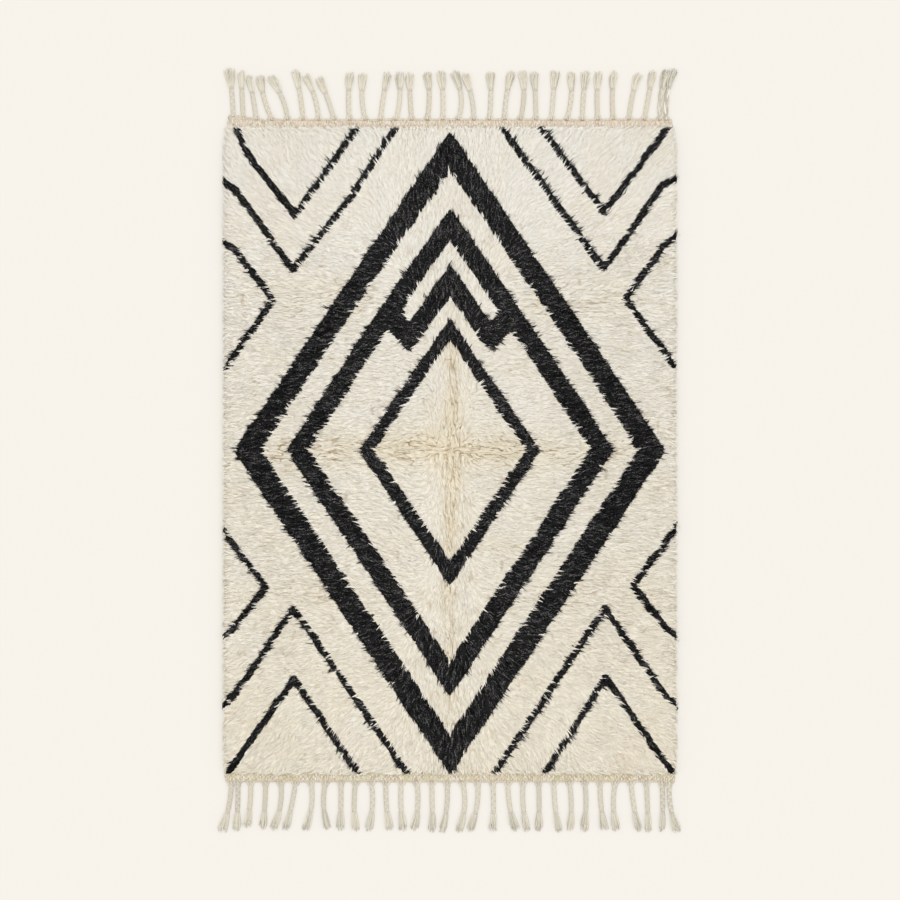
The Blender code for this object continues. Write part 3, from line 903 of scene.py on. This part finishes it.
warmth = yellowing(knot_x, knot_y)
pile_pieces = [lock_piece("pile_charcoal", dark, charcoal_wool, CHARCOAL_WIDTH, CHARCOAL_FLATNESS, 0.4, 0.26)]
for end, in_end in (("head", root[:, 1:] > 0), ("foot", root[:, 1:] <= 0)):
    for hand, in_hand in (("left", root[:, :1] < 0), ("right", root[:, :1] >= 0)):
        pile_pieces.append(lock_piece(f"pile_cream_{end}_{hand}", ~dark & in_end & in_hand, cream_wool,
                                      STRAND_WIDTH, CREAM_FLATNESS, 1.0, 0.10))


# ---------------------------------------------------------------------------------------------------------
# End bands. At each end the warps run on through a narrow flat-woven strip of undyed wool, ribbed
# lengthwise, whose last picks are a pinkish twined thread that holds the weave.

BAND_INNER = 1.1188
BAND_OUTER = 1.1610
BAND_HALF_INNER = {"head": 0.783, "foot": 0.792}
BAND_HALF_OUTER = {"head": 0.776, "foot": 0.785}
BAND_THICKNESS = 0.0056
BAND_COLUMNS = 900
BAND_AROUND = 14
RIB = 0.0068
TWINE_RADIUS = 0.0012
TWINE_PITCH = 0.011
TWINE_STEPS = 560
TWINE_SIDES = 4
BINDING_HALF = 0.0075
# First root, pitch, count and bow of each end's row of tassels, and the roots of the doubled corner tassels.
TASSEL_ROOTS = {
    "head": (-0.677, 0.0543, 27, 0, (-0.7575, -0.7225), (0.7570,)),
    "foot": (-0.698, 0.0533, 28, -0.006, (-0.7660, -0.7430), (0.7680,)),
}


def tassel_roots(end_name):
    """Where the tassels leave the band, from left to right: evenly, plus a parabola, plus the corners'."""
    first, pitch, count, bow, left, right = TASSEL_ROOTS[end_name]
    share = np.arange(count) / (count - 1)
    row = first + pitch * np.arange(count) + bow * 4 * share * (1 - share)
    return np.array([*left, *row, *right])


def band_edge(x, end):
    """Distance of the band's outer edge from the middle: nearly straight, and 12 mm further out at the head's
    left corner, where the selvedge runs into the first tassels."""
    corner = 0.012 / (1 + np.exp((x + 0.700) / 0.010)) * (end > 0)
    return BAND_OUTER + corner + 0.0012 * drift(x, 0 * x, 0.05, 0.05, 61 if end > 0 else 62)


def band_points(end):
    """A closed strip as rings round its section, one for each step of x: out along the underside and back
    along the top, thick by half an ellipse. Ribs are a cosine over x, and the edge wavers."""
    turn = np.linspace(0, 2 * np.pi, BAND_AROUND, endpoint=False)
    x = np.linspace(-1, 1, BAND_COLUMNS)[:, None]
    reach = (1 - np.cos(turn)) / 2
    flat = np.clip((1 - np.cos(turn)) / 2 * 1.16 - 0.08, 0, 1)
    end_name = "head" if end > 0 else "foot"
    half = BAND_HALF_INNER[end_name] * (1 - reach) + BAND_HALF_OUTER[end_name] * reach
    px = x * half
    outer = band_edge(px, end)
    py = BAND_INNER + (outer - BAND_INNER) * flat
    rib = 0.00055 * np.cos(2 * np.pi * px / RIB + 1.3 * drift(px, py, 0.03, 0.02, 63))
    swell = np.sign(np.sin(turn)) * np.abs(np.sin(turn)) ** 0.5
    pz = BAND_THICKNESS / 2 + (BAND_THICKNESS / 2 - 0.0006 + rib) * -swell * end
    pz = np.maximum(pz, 0.0001)
    return np.stack([px, end * py, pz + 0 * px], 2).reshape(-1, 3)


band_material, tree, shader = new_material("flat_woven_wool")
where = object_place(tree)
fibre = noise(tree, drawn_out(tree, where, (290, 80, 70)), 1, 3, 0.6)
over_under = calculate(tree, "SUBTRACT", waves(tree, where, 22, 0.7, "X"), waves(tree, where, 22, 0.7, "Y"))
check = calculate(tree, "ADD", calculate(tree, "ABSOLUTE", over_under), -0.45)
along = place(tree, "ShaderNodeSeparateXYZ", {"Vector": where}).outputs["Y"]
towards_head = rescale(tree, along, -1, 1)
grain = calculate(tree, "MULTIPLY_ADD", check, rescale(tree, towards_head, 0, 1, 0.12, 0.05), fibre)
yarn = blend(tree, rescale(tree, grain, 0.34, 0.66), (0.42, 0.32, 0.21, 1), (0.87, 0.83, 0.73, 1))
dye = blend(tree, towards_head, (0.60, 0.55, 0.30, 1), (0.74, 0.62, 0.49, 1))
patch = rescale(tree, noise(tree, where, 22, 2), 0.35, 0.7, 0, 0.5)
show(tree, shader, blend(tree, patch, yarn, dye), grain, 0.0018, 0.8)
shader.inputs["Roughness"].default_value = 0.9

twine_material, tree, shader = new_material("twined_thread")
uneven = noise(tree, drawn_out(tree, object_place(tree), (160, 60, 60)), 1, 3, 0.65)
bound = calculate(tree, "MULTIPLY_ADD", uneven, 0.20, read_number(tree, "binding"))
show(tree, shader, blend(tree, bound, (0.80, 0.73, 0.60, 1), (0.45, 0.26, 0.17, 1)), uneven, 0.001, 0.5)
shader.inputs["Roughness"].default_value = 0.85


def round_tubes(paths, radius, sides, squash=1.0):
    """Points of tubes along these paths, (tubes, rings, 3): a circle of the ring's radius, square to the
    path's own direction, with one spoke level and the next square to both and squashed."""
    run = np.gradient(paths, axis=1)
    run /= np.linalg.norm(run, axis=2, keepdims=True) + 1e-12
    side = np.stack([-run[..., 1], run[..., 0], 0 * run[..., 0]], 2)
    side /= np.linalg.norm(side, axis=2, keepdims=True) + 1e-12
    up = squash * np.cross(run, side)
    turn = np.arange(sides) / sides * 2 * np.pi
    spokes = (np.cos(turn)[:, None] * side[:, :, None] + np.sin(turn)[:, None] * up[:, :, None])
    return paths[:, :, None] + spokes * np.broadcast_to(radius, paths.shape[:2])[:, :, None, None]


def tubes_of(points, first=0):
    """Points in one list, and the quads and caps of tubes given as (tubes, rings, sides, 3)."""
    tubes, rings, sides, _ = points.shape
    quads, caps = tube_faces(rings, sides)
    starts = first + np.arange(tubes)[:, None, None] * rings * sides
    return points.reshape(-1, 3), (quads + starts).reshape(-1, 4), (caps + starts).reshape(-1, sides)


def twined_edge(end):
    """Two plies that turn round each other along the band's outer edge: height and distance are a sine
    and a cosine of x, half a turn apart."""
    half = BAND_HALF_OUTER["head" if end > 0 else "foot"] - 0.002
    x = np.linspace(-half, half, TWINE_STEPS)
    paths = []
    for ply in (0, np.pi):
        turn = 2 * np.pi * x / TWINE_PITCH + ply
        y = band_edge(x, end) - 0.0045 + 0.0016 * drift(x, 0 * x, 0.03, 0.03, 64) + 0.0010 * np.cos(turn)
        z = BAND_THICKNESS + 0.0007 * np.sin(turn)
        paths.append(np.stack([x, end * y, z], 1))
    return round_tubes(np.array(paths), TWINE_RADIUS, TWINE_SIDES)


for end_name, end in (("head", 1), ("foot", -1)):
    points = band_points(end)
    quads, caps = tube_faces(BAND_COLUMNS, BAND_AROUND)
    wool_piece(f"band_{end_name}", points, [quads, caps], band_material)
    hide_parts(f"fringe_{end_name}")
    points, quads, caps = tubes_of(twined_edge(end))
    twine = wool_piece(f"twined_edge_{end_name}", points, [quads, caps], twine_material)
    from_root = np.abs(points[:, :1] - tassel_roots(end_name))
    firmness = (0.80 if end > 0 else 0.35) + 0.30 * drift(points[:, 0], 0 * points[:, 0], 0.05, 0.05, 66)
    give(twine, "binding", firmness * np.exp(-(from_root.min(1) / BINDING_HALF) ** 4))
    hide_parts(f"fringe_{end_name}")


# ---------------------------------------------------------------------------------------------------------
# Tassels. The warp ends of each end, gathered beyond the band, plaited in three, tied with a thread at two
# thirds of their length and left open as a brush. They lie on the floor as they fell.

FRINGE_REACH = 1.333
TASSEL_START = 1.1575
TIE_SHARE = 0.63
PLAIT_PERIOD = 0.024
ROPE_PERIOD = 0.120
ROPE_FROM = 0.72
PLAIT_SWING = 0.0051
ROOT_FAN = {1: 0.0095, -1: 0.0120}
PLAIT_LIFT = 0.0011
PLAIT_RADIUS = 0.0045
PLAIT_RINGS = 34
PLAIT_SIDES = 5
BRUSH_YARNS = 16
BRUSH_RINGS = 6
BRUSH_SIDES = 3
TIE_RINGS = 12
TIE_SIDES = 5
TIE_THREAD = 0.0009
# Each tassel's lie, from left to right, in millimetres: how far it leans at its tie and at its tip, how much
# shorter it is than the longest, and how wide its brush opens.
TASSEL_LIE = {
    "head": [(-7, -14, 0, 38), (-6, -8, 5, 22), (-15, -26, 25, 24), (-33, -42, 25, 30), (-27, -60, 25, 30),
             (-14, -28, 4, 28), (-20, -47, 20, 26), (-30, -54, 28, 30), (-3, 2, 12, 30), (-11, -6, 15, 30),
             (14, 27, 12, 30), (14, 9, 10, 30), (-6, -7, 14, 30), (7, 0, 10, 30), (0, -6, 8, 32),
             (7, -16, 8, 32), (-12, -32, 16, 28), (6, 3, 12, 32), (10, 24, 10, 30), (13, 6, 8, 30),
             (-2, -6, 12, 30), (9, 14, 6, 34), (17, 14, 12, 30), (6, 13, 8, 32), (-2, 2, 10, 30),
             (-3, 2, 8, 30), (17, 34, 14, 30), (19, 30, 6, 28), (7, 20, 4, 26), (7, 26, 2, 32)],
    "foot": [(-13, -34, 2, 36), (-1, -6, 6, 32), (-4, -14, 18, 32), (-4, -10, 12, 30), (-5, -26, 10, 32),
             (-19, -36, 6, 30), (0, -19, 8, 30), (-6, 7, 12, 30), (0, -2, 8, 32), (-6, 0, 6, 30),
             (3, -10, 6, 32), (3, 13, 8, 30), (0, 7, 6, 32), (3, -9, 8, 32), (2, 2, 2, 30),
             (-3, -17, 0, 28), (6, -13, 2, 30), (-6, -28, 4, 32), (3, 0, 4, 32), (10, 27, 6, 32),
             (2, 14, 4, 28), (2, 0, 6, 30), (7, 18, 2, 28), (7, 2, 6, 28), (4, -3, 4, 32),
             (6, 16, 6, 32), (-6, 3, 6, 32), (14, 27, 4, 28), (5, 7, 2, 28), (3, 0, 4, 24),
             (8, 29, 0, 34)],
}


def tassel_middle(share, root_x, lie, end):
    """Middle line of a tassel on the floor: x leaves the root by share * (tip lean + bow * (share - 1)),
    the curve through both leans, and y runs outward in proportion."""
    knee, tip, shorter, _ = (value / 1000 for value in lie)
    bow = (knee - tip * TIE_SHARE) / (TIE_SHARE * (TIE_SHARE - 1))
    x = root_x + share * (tip + bow * (share - 1))
    y = end * (TASSEL_START + (FRINGE_REACH - shorter - TASSEL_START) * share)
    return np.stack([x, y], -1)


def to_the_side(run):
    """Directions square to these on the floor, of length 1: (y, -x) over the length."""
    return np.stack([run[:, 1], -run[:, 0]], 1) / np.hypot(run[:, 0], run[:, 1])[:, None]


def plait_paths(root_x, lie, end, period):
    """Three strands round the tassel's middle line: sideways a sine, up and down a sine of twice the angle,
    a third of a turn apart. They close up at the tie and fan out at the root."""
    share = np.linspace(0, TIE_SHARE + 0.02, PLAIT_RINGS)
    middle = tassel_middle(share, root_x, lie, end)
    run = np.gradient(middle, axis=0)
    side = to_the_side(run)
    travelled = share * (FRINGE_REACH - TASSEL_START)
    gathered = 1 - 0.28 * np.exp(-((share - TIE_SHARE) / 0.035) ** 2)
    paths = []
    for strand in range(3):
        turn = 2 * np.pi * travelled / period + strand * 2 * np.pi / 3
        eased = np.clip(share / 0.14, 0, 1)
        laid = eased ** 2 * (3 - 2 * eased)
        sway = PLAIT_SWING * np.sin(turn) * gathered * laid + ROOT_FAN[end] * (strand - 1) * (1 - laid)
        height = 0.0041 + PLAIT_LIFT * np.sin(2 * turn) * laid
        paths.append(np.concatenate([middle + side * sway[:, None], height[:, None]], 1))
    return np.array(paths)


def brush_paths(root_x, lie, end, dice):
    """The open yarns past the tie: sideways they spread from the tie's width to the brush's, as the share
    of the way to the power 0.75, and wave a little. They sink from the tie's height to the floor."""
    share = np.linspace(0, 1, BRUSH_RINGS)
    order = (np.arange(BRUSH_YARNS) / (BRUSH_YARNS - 1) * 2 - 1)[:, None]
    cut = np.minimum(dice.normal(0.01, 0.035, BRUSH_YARNS), 0.04)[:, None] - 0.035 * order ** 2
    middle = tassel_middle(TIE_SHARE + (1 - TIE_SHARE + cut) * share, root_x, lie, end)
    run = middle[:, -1] - middle[:, 0]
    side = to_the_side(run)[:, None]
    layer = np.arange(BRUSH_YARNS) % 2
    opened = lie[3] / 2000 * (1.24 if end > 0 else 1.10) - 0.003
    sway = order * (0.0062 + (opened - 0.0062) * share ** 0.75)
    sway += 0.0012 * share * np.sin(share * 5 + dice.uniform(0, 6, (BRUSH_YARNS, 1)))
    height = (0.0040 + 0.0026 * layer)[:, None] * (1 - share) + (0.0024 + 0.0020 * layer)[:, None] * share
    height = height + 0.0007 * np.sin(share * 3 + dice.uniform(0, 6, (BRUSH_YARNS, 1))) * share
    return np.concatenate([middle + side * sway[..., None], np.maximum(height, 0.0022)[..., None]], 2)


def tie_path(root_x, lie, end):
    """A closed loop of thread round the gathered strands: an ellipse square to the tassel's direction."""
    ends = tassel_middle(np.array([TIE_SHARE - 0.01, TIE_SHARE + 0.01]), root_x, lie, end)
    run = (ends[1] - ends[0]) / np.linalg.norm(ends[1] - ends[0])
    side = np.array([run[1], -run[0]])
    turn = np.linspace(0, 2 * np.pi, TIE_RINGS + 1)[:-1]
    slant = 0.0012 * np.sin(turn)
    flat = ends.mean(0) + 0.0080 * np.cos(turn)[:, None] * side + slant[:, None] * run
    return np.concatenate([flat, (0.0048 + 0.0036 * np.sin(turn))[:, None]], 1), np.append(run, 0)


def tie_points(root_x, lie, end):
    """Points of the tie's thread, a ring of rings: each spoke leans between outward and along the tassel."""
    path, run = tie_path(root_x, lie, end)
    outward = path - path.mean(0)
    outward /= np.linalg.norm(outward, axis=1)[:, None]
    turn = np.arange(TIE_SIDES) / TIE_SIDES * 2 * np.pi
    spokes = np.cos(turn)[:, None] * outward[:, None] + 1.5 * np.sin(turn)[:, None] * run
    return path[:, None] + TIE_THREAD * spokes


def ring_faces(rings, around):
    """Corner numbers of a tube that closes on itself."""
    i = np.arange(rings)[:, None] * around
    j = np.arange(around)
    follows = (np.arange(rings)[:, None] + 1) % rings * around
    beside = (j + 1) % around
    return np.stack([(i + j), (i + beside), (follows + beside), (follows + j)], 2).reshape(-1, 4)


tassel_wool, _, _ = wool_material("plaited_wool", (0.61, 0.56, 0.46), (0.735, 0.705, 0.61),
                                  (1.0, 0.94, 0.86), 0.40, 0.3, 0.20, 0.25)
tie_thread, tree, shader = new_material("tie_thread")
worn = noise(tree, object_place(tree), 60, 2)
show(tree, shader, blend(tree, worn, (0.66, 0.58, 0.50, 1), (0.72, 0.68, 0.60, 1)), worn, 0.001, 0.4)
shader.inputs["Roughness"].default_value = 0.85

for end_name, end in (("head", 1), ("foot", -1)):
    roots = tassel_roots(end_name)
    dice = np.random.default_rng(81 if end > 0 else 82)
    plaits, brushes, ties = [], [], []
    for root_x, lie in zip(roots, TASSEL_LIE[end_name]):
        in_rope = end > 0 and root_x > ROPE_FROM
        period = ROPE_PERIOD if in_rope else PLAIT_PERIOD * dice.choice([-1, 1])
        plaits.append(plait_paths(root_x, lie, end, period))
        brushes.append(brush_paths(root_x, lie, end, dice))
        ties.append(tie_points(root_x, lie, end))
    share = np.linspace(0, 1, PLAIT_RINGS)
    plait_radius = PLAIT_RADIUS * (1 - 0.25 * np.exp(-((share - 1) / 0.06) ** 2))
    plait_tubes = round_tubes(np.concatenate(plaits), plait_radius, PLAIT_SIDES, squash=0.6)
    brush_share = np.linspace(0, 1, BRUSH_RINGS)
    brush_radius = np.interp(brush_share, [0, 0.3, 0.8, 1], [0.0022, 0.0026, 0.0025, 0.0008])
    brush_tubes = round_tubes(np.concatenate(brushes), brush_radius, BRUSH_SIDES)
    plait_points, plait_quads, plait_caps = tubes_of(plait_tubes)
    brush_points, brush_quads, brush_caps = tubes_of(brush_tubes, len(plait_points))
    tassels = wool_piece(f"tassels_{end_name}", np.concatenate([plait_points, brush_points]),
                         [np.concatenate([plait_quads, brush_quads]), plait_caps, brush_caps],
                         tassel_wool)
    tubes = len(plait_tubes) + len(brush_tubes)
    plait_tone = dice.uniform(0.36, 0.76, (len(roots), 3))
    plait_tone[[0, 1, -2]] += np.array([-0.25, 0.10, -0.05])
    plait_tone[-1] += np.array([-0.75, 0.25, -0.20]) * (1.0 if end > 0 else 0.35)
    # A few brush yarns, about one in eight, are darker as a painted shade between the yarns.
    brush_tone = dice.uniform(0.62, 1.0, len(brush_tubes)) - 0.55 * (dice.random(len(brush_tubes)) < 0.12)
    if end > 0:
        brush_tone[-2 * BRUSH_YARNS:] -= dice.uniform(0, 1.1, 2 * BRUSH_YARNS)
    tone = np.concatenate([plait_tone.ravel(), brush_tone]) - (0.02 if end > 0 else 0.15)
    per_tube = np.array([PLAIT_RINGS * PLAIT_SIDES] * len(plait_tubes)
                        + [BRUSH_RINGS * BRUSH_SIDES] * len(brush_tubes))
    give(tassels, "lock_tone_and_shading", np.repeat(tone, per_tube))
    give(tassels, "warmth", np.repeat(np.clip(dice.normal(0.25, 0.15, tubes), 0, 1), per_tube))
    # Painted shade: the tassels' lower parts take the shaded root colour and their higher parts the lit tip
    # colour, by their height.
    plait_high = np.clip((plait_tubes[..., 2] - 0.003) / 0.007, 0, 1).ravel()
    brush_high = np.clip(brush_tubes[..., 2] / 0.008, 0, 1).ravel()
    give(tassels, "tipward", np.concatenate([plait_high, 0.75 + 0.25 * brush_high]) * 0.55)
    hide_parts(f"fringe_{end_name}")
    tie_quads = np.concatenate([ring_faces(TIE_RINGS, TIE_SIDES) + TIE_RINGS * TIE_SIDES * n
                                for n in range(len(ties))])
    tie_piece = wool_piece(f"ties_{end_name}", np.concatenate([t.reshape(-1, 3) for t in ties]),
                           [tie_quads], tie_thread)
    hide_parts(f"fringe_{end_name}")
